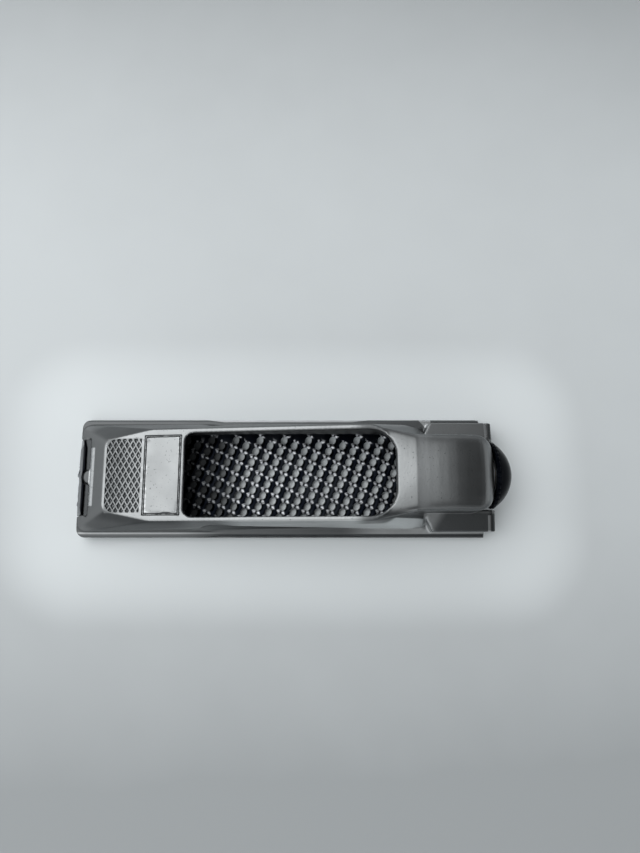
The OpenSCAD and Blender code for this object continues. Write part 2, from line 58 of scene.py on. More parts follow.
# Table
# A plain pale table top with a faint cloudiness and painted light and shade, lit by a
# broad soft light from the upper left and the light room round it.
class Signal:
    """An output socket in a node tree. Arithmetic on it adds Math nodes."""

    def __init__(self, tree, socket):
        self.tree = tree
        self.socket = socket

    def node(self, kind, settings=None, inputs=None, output=0):
        """Adds a node, with its settings first and then its sockets' values or links."""
        made = self.tree.nodes.new(kind)
        for name, value in (settings or {}).items():
            setattr(made, name, value)
        for name, value in (inputs or {}).items():
            if isinstance(value, Signal):
                self.tree.links.new(value.socket, made.inputs[name])
            else:
                made.inputs[name].default_value = value
        return Signal(self.tree, made.outputs[output])

    def maths(self, operation, *numbers):
        """A Math node on these numbers and signals, or on this signal alone."""
        numbers = numbers or (self,)
        return self.node("ShaderNodeMath", {"operation": operation}, dict(enumerate(numbers)))

    def __add__(self, other):
        return self.maths("ADD", self, other)

    def __sub__(self, other):
        return self.maths("SUBTRACT", self, other)

    def __rsub__(self, other):
        return self.maths("SUBTRACT", other, self)

    def __mul__(self, other):
        return self.maths("MULTIPLY", self, other)

    def __truediv__(self, other):
        return self.maths("DIVIDE", self, other)

    def __rtruediv__(self, other):
        return self.maths("DIVIDE", other, self)

    __radd__ = __add__
    __rmul__ = __mul__

    def most(self, other):
        return self.maths("MAXIMUM", self, other)

    def size(self):
        return self.maths("ABSOLUTE")

    def between(self, low, high):
        """0 below low, 1 above high, and a smooth step from one to the other."""
        return self.node(
            "ShaderNodeMapRange",
            {"interpolation_type": "SMOOTHSTEP"},
            {"Value": self, "From Min": low, "From Max": high},
        )

    def fade(self, low, high):
        """1 below low, 0 above high."""
        return 1 - self.between(low, high)

    def blend(self, low, high):
        """Colour low where this is 0 and colour high where it is 1."""
        return self.node("ShaderNodeMix", {"data_type": "RGBA"}, {0: self, 6: low, 7: high}, 2)

    def parts(self):
        """The three numbers of a vector."""
        split = self.node("ShaderNodeSeparateXYZ", None, {0: self})
        return [Signal(self.tree, s) for s in split.socket.node.outputs]

    def noise(self, scale, detail=3.0, stretch=None):
        """Noise over this place, scale in repeats per metre."""
        place = self
        if stretch:
            place = self.node("ShaderNodeMapping", None, {"Vector": self, "Scale": stretch})
        return place.node(
            "ShaderNodeTexNoise", None, {"Vector": place, "Scale": scale, "Detail": detail}
        )

    def bump(self, depth):
        """A normal from this height, depth in metres."""
        return self.node("ShaderNodeBump", None, {"Height": self, "Distance": depth})


class Finish:
    """A material with one Principled shader, and where a point lies on its piece."""

    def __init__(self, name, **fixed):
        self.material = bpy.data.materials.new(name)
        self.material.use_nodes = True
        self.tree = self.material.node_tree
        self.shader = self.tree.nodes["Principled BSDF"]
        coordinates = self.tree.nodes.new("ShaderNodeTexCoord")
        self.place = Signal(self.tree, coordinates.outputs["Object"])
        for name, value in fixed.items():
            self.shader.inputs[name.replace("_", " ")].default_value = value

    def feed(self, name, signal):
        self.tree.links.new(signal.socket, self.shader.inputs[name])

    def read(self, attribute):
        return self.place.node(
            "ShaderNodeAttribute", {"attribute_name": attribute}, None, "Fac"
        )

    def normal(self):
        """The three numbers of the direction that a point faces."""
        return self.place.node("ShaderNodeNewGeometry", None, None, "Normal").parts()


def new_object(name, mesh, material=None):
    thing = bpy.data.objects.new(name, mesh)
    bpy.context.collection.objects.link(thing)
    if material:
        mesh.materials.clear()
        mesh.materials.append(material)
    return thing


table_half = 3.0
tool_half_length, tool_half_width = 0.0748, 0.0207
shaded_table_top, lit_table_top = (0.385, 0.407, 0.418, 1), (0.66, 0.695, 0.71, 1)
glow, shade = (0.87, 0.915, 0.93, 1), (0.03, 0.033, 0.036, 1)
mesh = bpy.data.meshes.new("table")
mesh.from_pydata(
    [(x * table_half, y * table_half, 0) for x, y in ((-1, -1), (1, -1), (1, 1), (-1, 1))],
    [],
    [(0, 1, 2, 3)],
)
table_top = Finish("pale_table", Roughness=0.6, Specular_IOR_Level=0.25)
table_x, table_y, _ = table_top.place.parts()
cloud = (table_top.place.noise(7, 4) - 0.5) * 0.1
speck = (table_top.place.noise(55, 3) - 0.5) * 0.02
# Painted light and shade: the table is palest a little beyond the tool, and painted darker at its
# near and far ends
lit = table_y * 1.29 - table_x * 0.18 - table_y * table_y * 10.7 + 0.23
table_tone_and_light = ((lit + cloud + speck) * 3.5).blend(shaded_table_top, lit_table_top)
# Painted light: the table is painted paler right round the tool
past_end = (table_x.size() - tool_half_length).most(0)
past_side = (table_y.size() - tool_half_width).most(0)
glow_beside_tool = (past_end * past_end + past_side * past_side).fade(-0.0001, 0.0011)
table_tone_and_light = (glow_beside_tool * 0.65).blend(table_tone_and_light, glow)
# Painted shadow under the front half of the tool, where no light comes in
shadow_under_front = table_x.fade(-0.028, -0.012) * table_x.size().fade(0.066, 0.07)
shadow_under_front = shadow_under_front * table_y.size().fade(0.0175, 0.019)
table_top.feed("Base Color", (shadow_under_front * 0.95).blend(table_tone_and_light, shade))
table = new_object("table", mesh, table_top.material)

# The room is light all round, but for a dark stretch overhead on the knob's side
world = bpy.data.worlds.new("room")
world.use_nodes = True
bpy.context.scene.world = world
background = world.node_tree.nodes["Background"]
background.inputs["Color"].default_value = (0.97, 0.99, 1.0, 1)
direction = Signal(
    world.node_tree, world.node_tree.nodes.new("ShaderNodeTexCoord").outputs["Generated"]
)
sky_x, sky_y, sky_z = direction.parts()
turned = sky_x / (sky_x * sky_x + sky_z * sky_z).maths("SQRT")
dim = turned.between(-0.02, 0.32) * turned.fade(0.82, 0.97) * sky_y.size().fade(0.7, 0.95)
room = (1 - dim * sky_z.between(-0.05, 0.1)) * 0.96 + 0.06
world.node_tree.links.new(room.socket, background.inputs["Strength"])

lamp = bpy.data.lights.new("window_light", "AREA")
lamp.shape = "DISK"
lamp.size = 0.9
lamp.energy = 2.3
window_light = bpy.data.objects.new("window_light", lamp)
window_light.location = (-0.42, 0.26, 0.62)
window_light.rotation_euler = (-window_light.location).to_track_quat("-Z", "Y").to_euler()
bpy.context.collection.objects.link(window_light)

# Body casting
# One zinc die casting with soft edges, painted grey: finger pad and plain field
# in front, chip window, palm end with cheek blocks, scoops in both flanks. The
# paint is scuffed to the metal on the edges and dusty, and its colour carries
# painted light and shade on the flanks, palm end, blocks and inside.


def merged_copy(node, name):
    """The CAD node's mesh as one closed shell of its own."""
    shell = bmesh.new()
    shell.from_mesh(nodes[node].data)
    bmesh.ops.remove_doubles(shell, verts=shell.verts, dist=1e-6)
    mesh = bpy.data.meshes.new(name)
    shell.to_mesh(mesh)
    shell.free()
    return mesh


def baked(thing, name):
    """What an object's modifiers make of it, as a plain object. The first is deleted."""
    depsgraph = bpy.context.evaluated_depsgraph_get()
    mesh = bpy.data.meshes.new_from_object(thing.evaluated_get(depsgraph))
    mesh.name = name
    bpy.data.objects.remove(thing)
    return new_object(name, mesh)


def shade_smooth(mesh):
    mesh.polygons.foreach_set("use_smooth", [True] * len(mesh.polygons))


def points_of(mesh, what="co"):
    """Places of a mesh's points, or with "normal" the directions that they face."""
    spots = np.empty(len(mesh.vertices) * 3)
    mesh.vertices.foreach_get(what, spots)
    return spots.reshape(-1, 3)


def place_points(mesh, spots):
    mesh.vertices.foreach_set("co", spots.astype(np.float32).ravel())
    mesh.update()


def linked_points(mesh):
    """Both ends of every edge, each edge taken both ways."""
    pairs = np.empty(len(mesh.edges) * 2, dtype=np.int64)
    mesh.edges.foreach_get("vertices", pairs)
    pairs = pairs.reshape(-1, 2)
    return np.concatenate([pairs, pairs[:, ::-1]]).T


def soften(mesh, rounds):
    """Rounds the edges of a fine, even mesh, as those of a casting are."""
    spots = points_of(mesh)
    ends, others = linked_points(mesh)
    links = np.bincount(ends)
    for _ in range(rounds):
        for k in range(3):
            total = np.bincount(ends, weights=spots[others, k])
            spots[:, k] += 0.5 * (total / links - spots[:, k])
    place_points(mesh, spots)


def mark_curvature(mesh, radius):
    """Attributes edge and groove: 1 on an edge, or in a hollow, that is bent to this radius."""
    spots, normals = points_of(mesh), points_of(mesh, "normal")
    ends, others = linked_points(mesh)
    step = spots[others] - spots[ends]
    fall = -(normals[ends] * step).sum(1) / ((step**2).sum(1) + 1e-14)
    links = np.bincount(ends)
    bend = np.bincount(ends, weights=fall) / links * 2 * radius
    for _ in range(2):
        bend = (bend + np.bincount(ends, weights=bend[others]) / links) / 2
    for name, sign in (("edge", 1), ("groove", -1)):
        layer = mesh.attributes.new(name, "FLOAT", "POINT")
        layer.data.foreach_set("value", np.clip(sign * bend, 0, 1).astype(np.float32))


nose = -0.0748
deck_front, deck_front_height = 0.012, 0.0126
deck_slope = math.radians(7.85)
deck_way = np.array((math.cos(deck_slope), 0, math.sin(deck_slope)))
deck_normal = np.array((-math.sin(deck_slope), 0, math.cos(deck_slope)))

pad_behind = 0.0071
pad_middle = np.array(
    (nose + deck_front + pad_behind, 0, deck_front_height + pad_behind * math.tan(deck_slope))
)
pad_length, pad_width = 0.0124, 0.025
pad_front_radius, pad_rear_radius = 0.0035, 0.0006
pad_pitch, pad_depth = 0.00175, 0.0005
pad_slant = math.radians(59)
ridge_crest, ridge_foot = 0.00016, 0.00046


def on_pad(spots):
    """Place along and across the pad, height over the deck, and distance inside its outline."""
    apart = spots - pad_middle
    forth, aside, height = apart @ deck_way, apart[:, 1], apart @ deck_normal
    radius = np.where(forth < 0, pad_front_radius, pad_rear_radius)
    beyond_x = np.abs(forth) - pad_length / 2 + radius
    beyond_y = np.abs(aside) - pad_width / 2 + radius
    inside = radius - np.hypot(np.maximum(beyond_x, 0), np.maximum(beyond_y, 0))
    inside -= np.minimum(np.maximum(beyond_x, beyond_y), 0)
    return forth, aside, height, inside


frame_start, frame_length, frame_width = 0.00717, 0.013, 0.0269
frame_line, frame_depth = 0.0008, 0.0004


def in_frame(forth, aside):
    """Distance inside the outline of the groove round the plain field."""
    beyond_x = np.abs(forth - frame_start - frame_length / 2) - frame_length / 2
    beyond_y = np.abs(aside) - frame_width / 2
    return -np.maximum(beyond_x, beyond_y)


def step_up(value, low, high):
    t = np.clip((value - low) / (high - low), 0, 1)
    return t * t * (3 - 2 * t)


# The pad's ridges and the groove round the field are left out of the copy, and
# laid again once its edges are soft
rounding = 0.00006
mesh = merged_copy("body_casting", "cast_body")
spots = points_of(mesh)
forth, aside, height, inside = on_pad(spots)
framed = in_frame(forth, aside)
in_groove = (framed > -rounding / 3) & (framed < 2 * frame_line)
sunk = (np.abs(height + pad_depth) < rounding) & (inside > -rounding / 3)
sunk |= (np.abs(height + frame_depth) < rounding) & in_groove
spots[sunk] -= height[sunk, None] * deck_normal
place_points(mesh, spots)
guide = new_object("guide", mesh.copy())
body = new_object("cast_body", mesh)
remesh = body.modifiers.new("skin", "REMESH")
remesh.mode = "VOXEL"
remesh.voxel_size = 0.00024
cling = body.modifiers.new("cling", "SHRINKWRAP")
cling.target = guide
body = baked(body, "cast_body")
bpy.data.objects.remove(guide)
soften(body.data, 10)

# Finer faces where the ridges and the groove come
near_deck, margin = 0.00015, 0.0003
forth, aside, height, inside = on_pad(points_of(body.data))
framed = in_frame(forth, aside)
in_groove = (framed > -margin) & (framed < frame_line + margin)
on_top = (np.abs(height) < near_deck) & ((inside > -margin) | in_groove)
skin = bmesh.new()
skin.from_mesh(body.data)
skin.verts.ensure_lookup_table()
fine = [e for e in skin.edges if on_top[e.verts[0].index] and on_top[e.verts[1].index]]
bmesh.ops.subdivide_edges(skin, edges=fine, cuts=1, use_grid_fill=True)
skin.to_mesh(body.data)
skin.free()

# The groove has a low rib along its middle
spots = points_of(body.data)
forth, aside, height, inside = on_pad(spots)
from_ridge = np.full(len(spots), 1.0)
for way in (-1, 1):
    across_lines = aside * math.cos(pad_slant) - way * forth * math.sin(pad_slant)
    off = np.abs((across_lines / pad_pitch + 0.5) % 1 - 0.5) * pad_pitch
    from_ridge = np.minimum(from_ridge, off)
cell = step_up(from_ridge, ridge_crest, ridge_foot) * step_up(inside, 0.0, 0.00025)
from_rib = np.abs(in_frame(forth, aside) - frame_line / 2)
line = step_up(from_rib, 0.00008, 0.00024) * (1 - step_up(from_rib, 0.0003, 0.00044))
sink = (cell * pad_depth + line * frame_depth) * (np.abs(height) < near_deck)
spots -= sink[:, None] * deck_normal
place_points(body.data, spots)
mark_curvature(body.data, 0.0005)

# One point in each cube is held back from thinning, so that flat stretches keep
# small faces
most_triangles = 190000
cube = 0.0013
_, held_back = np.unique(np.floor(points_of(body.data) / cube), axis=0, return_index=True)
loose = body.vertex_groups.new(name="loose")
loose.add(range(len(body.data.vertices)), 1.0, "REPLACE")
loose.remove(held_back.tolist())
thin = body.modifiers.new("thin", "DECIMATE")
thin.ratio = most_triangles / sum(len(p.vertices) - 2 for p in body.data.polygons)
thin.vertex_group = "loose"
shade_smooth(body.data)
body.modifiers.new("even", "WEIGHTED_NORMAL")
body = baked(body, "cast_body")


def grey(level):
    """The cool grey of the paint, of its dirt and of its painted shade, at this brightness."""
    return (level, level * 1.03 + 0.002, level * 1.036 + 0.004, 1)


# Every place in the paint is in metres: behind the nose, off the middle, above
# the table or below the deck
paint = Finish("grey_cast_paint", Metallic=0.9)
along, across, up = paint.place.parts()
from_nose = along - nose
outward = across.size()
near_side = across.fade(-0.0005, 0.0005)
slope = math.tan(deck_slope)
below_deck = from_nose * slope + (deck_front_height - deck_front * slope) - up
_, facing_y, facing_up = paint.normal()
level = facing_up.between(0.93, 0.985)
on_deck = below_deck.size().fade(0.0009, 0.0012)
edge = paint.read("edge")
groove = paint.read("groove")
dust = paint.place.noise(60, 4)
scuffs = paint.place.noise(420, 4, (1, 2.2, 1))
streaks = paint.place.noise(260, 3, (0.12, 1, 1))
grain = paint.place.noise(1500, 2)
# Painted light: faces that lie level start paler than sloping ones
tone = level.blend(grey(0.14), grey(0.33))

# Painted shade: in front of the scoops each flank is darker under the deck and paler at its foot,
# and the near flank darker than the far one
front_flank = facing_y.size().between(0.25, 0.45) * outward.between(0.009, 0.012)
front_flank = front_flank * from_nose.fade(0.036, 0.046)
far_side_shading = up.fade(0.0058, 0.0088).blend(grey(0.1), grey(0.2))
near_side_shading = up.fade(0.0058, 0.0078).blend(grey(0.085), grey(0.17))
flank_shading = near_side.blend(far_side_shading, near_side_shading)
shade_under_deck = near_side.blend(grey(0.09), grey(0.05))
flank_shading = below_deck.fade(0.0008, 0.003).blend(flank_shading, shade_under_deck)
tone = front_flank.blend(tone, flank_shading)

# Painted reflection on the flank over the near scoop, paler towards the rear, and painted shade in
# the scoop itself
over_scoop = (up + from_nose * 0.17).between(0.0255, 0.0259)
on_near_flank = across.fade(-0.0125, -0.0115) * (1 - level) * up.between(0.0052, 0.0058)
lit_over_scoop = on_near_flank * over_scoop * from_nose.between(0.05, 0.062)
over_scoop_sheen = from_nose.between(0.088, 0.104).blend(grey(0.36), grey(0.52))
tone = lit_over_scoop.blend(tone, over_scoop_sheen)
scoop_shade = on_near_flank * (1 - over_scoop) * from_nose.between(0.044, 0.055)
tone = scoop_shade.blend(tone, grey(0.1))

# Painted shade darkens the palm end, most at its crest and down its rolled sides, behind a pale
# band with a paler streak
onto_palm = from_nose.between(0.1165, 0.1235)
palm = from_nose.between(0.1158, 0.1166) * outward.fade(0.0118, 0.0135)
palm_shade = onto_palm.blend(grey(0.17), grey(0.25))
crest_shade = from_nose.between(0.125, 0.132) * from_nose.fade(0.1375, 0.141)
tone = palm.blend(tone, crest_shade.blend(palm_shade, grey(0.13)))
streak = from_nose.between(0.1132, 0.1142) * from_nose.fade(0.1158, 0.1166)
streak = streak * outward.fade(0.01, 0.012) * dust.between(0.35, 0.6)
tone = (streak * 0.6).blend(tone, grey(0.42))
roll = onto_palm * outward.between(0.0085, 0.0112) * outward.fade(0.0128, 0.0134)
tone = (roll * 0.8).blend(tone, grey(0.1))

# Behind the window both shoulders are darker, and a painted shadow lies under the near one
shoulder = from_nose.between(0.095, 0.101) * from_nose.fade(0.1185, 0.1205)
shoulder = shoulder * below_deck.fade(0.004, 0.006) * outward.between(0.0118, 0.0138)
tone = shoulder.blend(tone, grey(0.12))
rim_shadow_edge = across + (0.11 - from_nose).most(0) * 0.18
rim_shadow = across.fade(-0.0138, -0.0105) * rim_shadow_edge.between(-0.0146, -0.0142)
rim_shadow = rim_shadow * from_nose.between(0.098, 0.106) * from_nose.fade(0.1205, 0.1225)
tone = rim_shadow.blend(tone, grey(0.05))

# Patches of dust everywhere, and small pits in level paint
tone = (dust.between(0.4, 0.75) * 0.3).blend(tone, grey(0.14))
pits = paint.place.noise(1300, 2).between(0.66, 0.72) * level
tone = (pits * 0.6).blend(tone, grey(0.09))

# Painted light on the ledge at the rear of its near side, and in front along the outer edge.
# Painted shade on the lip over the near flange.
outer_edge = outward.between(0.0187, 0.019) * from_nose.fade(0.035, 0.055)
lit_ledge = from_nose.between(0.092, 0.108).most(outer_edge) * near_side
ledge_shading = lit_ledge.blend(grey(0.1), grey(0.33))
near_lip = across.fade(-0.0196, -0.0192)
lip_shade = from_nose.between(0.036, 0.055).blend(grey(0.12), grey(0.05))
ledge_shading = near_lip.blend(ledge_shading, lip_shade)
tone = up.fade(0.0052, 0.0056).blend(tone, ledge_shading)

# Painted shade: the cheek blocks' tops are darker, the near one most towards its rear, and their
# rear ends dark
block = from_nose.between(0.1202, 0.1206) * outward.between(0.0124, 0.0127)
near_top_shade = (from_nose - across * 0.63).between(0.1325, 0.137).blend(grey(0.25), grey(0.075))
block_shading = near_side.blend(grey(0.19), near_top_shade)
tone = (block * up.between(0.0072, 0.0078)).blend(tone, block_shading)
end_shadow = from_nose.between(0.1436, 0.1438) * outward.between(0.0126, 0.0129)
end_shadow = end_shadow * up.fade(0.0108, 0.0112)
tone = end_shadow.blend(tone, grey(0.03))

# The nose land under the curl, the pad, and every groove of the deck, all darkened
land = from_nose.fade(0.0058, 0.0061) * outward.fade(0.0132, 0.0134)
boss = outward.fade(0.0016, 0.0022)
tone = land.blend(tone, boss.blend(grey(0.055), grey(0.1)))
pad = from_nose.between(0.0128, 0.0131) * from_nose.fade(0.0252, 0.0255)
pad = pad * outward.fade(0.0125, 0.0127) * on_deck
pad_tone = from_nose.between(0.014, 0.024).blend(grey(0.15), grey(0.27))
tone = pad.blend(tone, pad_tone)
tone = (groove.between(0.15, 0.7) * on_deck * 0.9).blend(tone, grey(0.025))

# Bare metal on the rail behind the nose, and on every edge outside the places kept dark; a painted
# highlight across the blocks' ends. The V notch in front of the far block is as pale.
rail = from_nose.between(0.0057, 0.0059) * from_nose.fade(0.0077, 0.008)
rail = rail * up.between(0.0078, 0.0082) * outward.fade(0.0098, 0.0102)
notch_floor = (from_nose * 1.19 + across).between(0.1637, 0.1640) * up.fade(0.0054, 0.006)
notch_floor = notch_floor * (across - from_nose * 1.5 + 0.1848).between(0.0171, 0.0174)
notch_floor = notch_floor * from_nose.fade(0.1246, 0.1249)
end_highlight = from_nose.between(0.1421, 0.1424) * from_nose.fade(0.1431, 0.1434)
end_highlight = end_highlight * outward.between(0.0131, 0.0134) * up.between(0.0078, 0.0082)
near_foot = near_side * from_nose.between(0.036, 0.055) * up.fade(0.0062, 0.007)
far_corner = from_nose.between(0.1195, 0.12) * from_nose.fade(0.126, 0.1265)
far_corner = far_corner * across.between(0.0158, 0.0162)
kept_dark = shoulder.most(rim_shadow).most(near_foot).most(far_corner).most(end_shadow)
kept_dark = kept_dark.most(near_lip * up.fade(0.0052, 0.0056)).most(land)
kept_dark = kept_dark.most(roll * 0.7).most(pad * 0.6)
bare_and_highlight = edge.between(0.45, 0.95) * scuffs.between(0.35, 0.6) * (1 - kept_dark)
bare_and_highlight = bare_and_highlight.most(rail * (scuffs.between(0.25, 0.5) * 0.25 + 0.5))
bare_and_highlight = bare_and_highlight.most(notch_floor * 0.6).most(end_highlight * 0.6)
tone = (bare_and_highlight * 0.9).blend(tone, (0.62, 0.64, 0.65, 1))

# Unlit inside: the walls of the window, and all that faces down
inner_wall = (below_deck - from_nose.between(0.1, 0.102) * 0.0023).between(0.0004, 0.0009)
inner_wall = inner_wall * outward.fade(0.01385, 0.014) * (facing_y * across).fade(0.001, 0.003)
inner_wall = inner_wall * from_nose.between(0.0401, 0.0404) * from_nose.fade(0.1098, 0.1101)
hollow = inner_wall.most(facing_up.fade(-0.2, 0.05) * up.between(0.0062, 0.0066))
paint.feed("Base Color", hollow.blend(tone, (0.012, 0.013, 0.015, 1)))
paint.feed("Roughness", bare_and_highlight * -0.1 + dust * 0.12 + streaks * 0.08 + 0.25)
paint.feed("Normal", (grain + scuffs * 0.6).bump(0.00003))
body.data.materials.append(paint.material)
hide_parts("body_casting")
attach(body, "body")

# Rasp blade
# A strip of dark spring steel, punched in slanted rows so that each hole leaves
# a tooth standing out below, with both long edges turned up, its front end
# curled round the nose bar and its rear end bent up for the yoke plate.
row_pitch = 0.00435
tooth_pitch = 0.00393
row_lean = 0.0015
row_start = nose - 0.0065
tooth_drop = 0.00088
strip_thickness = 0.0006
floor_top = 0.0015
curl_axis = Vector((nose + 0.00484, 0, 0.0045))
curl_radius = 0.0036
along_row = Vector((row_lean, tooth_pitch, 0))
across_rows = Vector((row_pitch - row_lean / 2, -tooth_pitch / 2, 0))
row_way = along_row.normalized()
tooth_way = Vector((row_way.y, -row_way.x, 0))


def cell_border():
    """Points round one cell of the lattice of teeth."""
    steps = (-0.5, -0.34, -0.17, 0, 0.17, 0.34)
    sides = (
        [(s, -0.5) for s in steps],
        [(0.5, s) for s in steps],
        [(-s, 0.5) for s in steps],
        [(-0.5, -s) for s in steps],
    )
    return [along_row * s + across_rows * t for side in sides for s, t in side]


def plain_cell():
    border = cell_border()
    mesh = bpy.data.meshes.new("plain_cell")
    mesh.from_pydata(border, [], [tuple(range(len(border)))[::-1]])
    mesh.attributes.new("worn_and_glint", "FLOAT", "POINT")
    return mesh


def beside_gap(point):
    """1 on both sides of the land between two teeth of a row, where chips rub it."""
    hole_reach, land_half, fall_off = 0.0017, 0.001, 0.0012
    if abs(point.dot(row_way)) < hole_reach:
        return 0.0
    return max(0.0, 1 - abs(abs(point.dot(tooth_way)) - land_half) / fall_off)


def punched_cell():
    """A hole whose edge on one side is pressed down into a tooth."""
    border = cell_border()
    count = len(border)
    spots, worn_and_glint = list(border), [beside_gap(point) for point in border]
    for radius, dip, pull, side_dip, stretch in (
        (0.0018, 0.18, 0.0, 0.08, 0.0),
        (0.00154, 0.55, 0.00005, 0.2, 0.06),
        (0.0013, 1.0, 0.00014, 0.2, 0.13),
    ):
        for point in border:
            way = point.normalized()
            ahead = max(0.0, (way.dot(tooth_way) + 0.25) / 1.25)
            beside = abs(way.dot(row_way)) ** 4
            press = ahead**1.3
            spot = way * radius - tooth_way * pull * press * 2
            spot += row_way * spot.dot(row_way) * stretch
            spot.z = -tooth_drop * max(dip * press, side_dip * beside)
            spots.append(spot)
            shine = 0.7 * beside_gap(point) + 0.15 * beside + 0.5 * press * dip
            worn_and_glint.append(min(1.0, shine))
    faces = []
    for ring in range(3):
        for k in range(count):
            m = (k + 1) % count
            a, b = ring * count, (ring + 1) * count
            faces.append((a + m, a + k, b + k, b + m))
    mesh = bpy.data.meshes.new("punched_cell")
    mesh.from_pydata(spots, [], faces)
    layer = mesh.attributes.new("worn_and_glint", "FLOAT", "POINT")
    layer.data.foreach_set("value", worn_and_glint)
    return mesh


def rows_tree():
    """Lays its incoming cell over the slanted rows, inside or outside the punched field."""
    tree = bpy.data.node_groups.new("punched_rows", "GeometryNodeTree")
    face = tree.interface
    face.new_socket("Cell", in_out="INPUT", socket_type="NodeSocketGeometry")
    for name in ("Row start", "Row pitch", "Row lean", "Tooth pitch", "Front", "Rear",
                 "Curl front", "Curl rear", "Half width", "Curl half width"):
        face.new_socket(name, in_out="INPUT", socket_type="NodeSocketFloat")
    for name in ("Rows", "Teeth across"):
        face.new_socket(name, in_out="INPUT", socket_type="NodeSocketInt")
    face.new_socket("Outside", in_out="INPUT", socket_type="NodeSocketBool")
    face.new_socket("Material", in_out="INPUT", socket_type="NodeSocketMaterial")
    face.new_socket("Sheet", in_out="OUTPUT", socket_type="NodeSocketGeometry")
    given = tree.nodes.new("NodeGroupInput")

    def sign(name):
        return Signal(tree, given.outputs[name])

    cell = sign("Cell")

    def logic(operation, first, second):
        return cell.node(
            "FunctionNodeBooleanMath", {"operation": operation}, {0: first, 1: second}
        )

    def no_more(first, second):
        return cell.node(
            "FunctionNodeCompare", {"operation": "LESS_EQUAL", "data_type": "FLOAT"},
            {0: first, 1: second},
        )

    def field_part(front, rear, half_width):
        lengthwise = logic("AND", no_more(sign(front), x), no_more(x, sign(rear)))
        return logic("AND", lengthwise, no_more(y.size(), sign(half_width)))

    index = cell.node("GeometryNodeInputIndex")
    across = sign("Teeth across")
    row = (index / across).maths("FLOOR")
    odd = row.maths("MODULO", row, 2)
    step = index - row * across - (across - 1) * 0.5 - odd * 0.5
    x = sign("Row start") + row * sign("Row pitch") + step * sign("Row lean")
    y = step * sign("Tooth pitch")
    spot = cell.node("ShaderNodeCombineXYZ", None, {0: x, 1: y})
    points = cell.node(
        "GeometryNodePoints", None, {"Count": sign("Rows") * across, "Position": spot}
    )
    floor_part = field_part("Front", "Rear", "Half width")
    curl_part = field_part("Curl front", "Curl rear", "Curl half width")
    wanted = logic("XOR", logic("OR", floor_part, curl_part), sign("Outside"))
    laid = cell.node(
        "GeometryNodeInstanceOnPoints", None,
        {"Points": points, "Selection": wanted, "Instance": cell},
    )
    real = cell.node("GeometryNodeRealizeInstances", None, {0: laid})
    coated = cell.node(
        "GeometryNodeSetMaterial", None, {"Geometry": real, "Material": sign("Material")}
    )
    result = tree.nodes.new("NodeGroupOutput")
    tree.links.new(coated.socket, result.inputs["Sheet"])
    return tree


def run_tree(thing, tree, values, name):
    """Applies a tree with these named values, and returns the plain result."""
    modifier = thing.modifiers.new(tree.name, "NODES")
    modifier.node_group = tree
    for item in tree.interface.items_tree:
        if item.in_out == "INPUT" and item.name in values:
            modifier[item.identifier] = values[item.name]
    return baked(thing, name)


# Dark oiled steel, scuffed bright beside the teeth, with painted glints on the teeth; both are
# painted dark in the window's shade towards the front. The flanges' rims, the curl and the faces
# turned down, which the casting doesn't shade, are painted paler, and the near rim darker behind
# its front part.
steel = Finish("dark_blade_steel", Metallic=1.0)
steel_x, steel_y, _ = steel.place.parts()
strip_x = steel_x - nose
stain = steel.place.noise(180, 4)
scratch = steel.place.noise(900, 3, (1, 6, 1))
steel_tone = stain.between(0.4, 0.7).blend((0.004, 0.005, 0.008, 1), (0.014, 0.016, 0.02, 1))
on_curl = strip_x.fade(0.0028, 0.0034)
on_rim = steel_y.size().between(0.0196, 0.0198)
facing_down = steel.normal()[2].fade(-0.6, -0.3)
behind_curl = strip_x.between(0.006, 0.0065)
near_rim = steel_y.fade(-0.0001, 0.0001) * behind_curl
near_side_shading = strip_x.between(0.04, 0.046).blend((0.22, 0.23, 0.24, 1), (0.07, 0.074, 0.078, 1))
far_side_shading = behind_curl.blend((0.27, 0.28, 0.29, 1), (0.48, 0.495, 0.51, 1))
open_tone = near_rim.blend(far_side_shading, near_side_shading)
in_the_open = on_curl.most(on_rim).most(facing_down)
steel_tone = (in_the_open * 0.85).blend(steel_tone, open_tone)
lit_from_window = strip_x.between(0.045, 0.062) * 0.8 + 0.2
bright = lit_from_window.blend((0.1, 0.105, 0.11, 1), (0.66, 0.68, 0.71, 1))
rub_and_glint = steel.read("worn_and_glint").between(0.3, 0.75) * scratch.between(0.3, 0.5)
steel.feed("Base Color", rub_and_glint.blend(steel_tone, bright))
steel.feed("Roughness", stain * 0.25 + 0.28)
steel.feed("Normal", scratch.bump(0.00002))

tree = rows_tree()
field = {
    "Row start": row_start,
    "Row pitch": row_pitch,
    "Row lean": row_lean,
    "Tooth pitch": tooth_pitch,
    "Rows": 38,
    "Teeth across": 15,
    "Front": nose + 0.00662,
    "Rear": nose + 0.1286,
    "Half width": 0.0155,
    "Curl front": curl_axis.x - 0.00694,
    "Curl rear": curl_axis.x - 0.001,
    "Curl half width": 0.0117,
    "Material": steel.material,
}
punched = run_tree(
    new_object("punched", punched_cell()), tree, {**field, "Outside": False}, "punched"
)
plain = run_tree(new_object("plain", plain_cell()), tree, {**field, "Outside": True}, "plain")

sheet = bmesh.new()
sheet.from_mesh(punched.data)
sheet.from_mesh(plain.data)
bpy.data.objects.remove(punched)
bpy.data.objects.remove(plain)
bmesh.ops.remove_doubles(sheet, verts=sheet.verts, dist=0.00003)


def trim(shell, point, normal):
    """Cuts off what lies beyond a plane."""
    parts = shell.verts[:] + shell.edges[:] + shell.faces[:]
    bmesh.ops.bisect_plane(
        shell, geom=parts, plane_co=point, plane_no=normal, dist=1e-7, clear_outer=True
    )


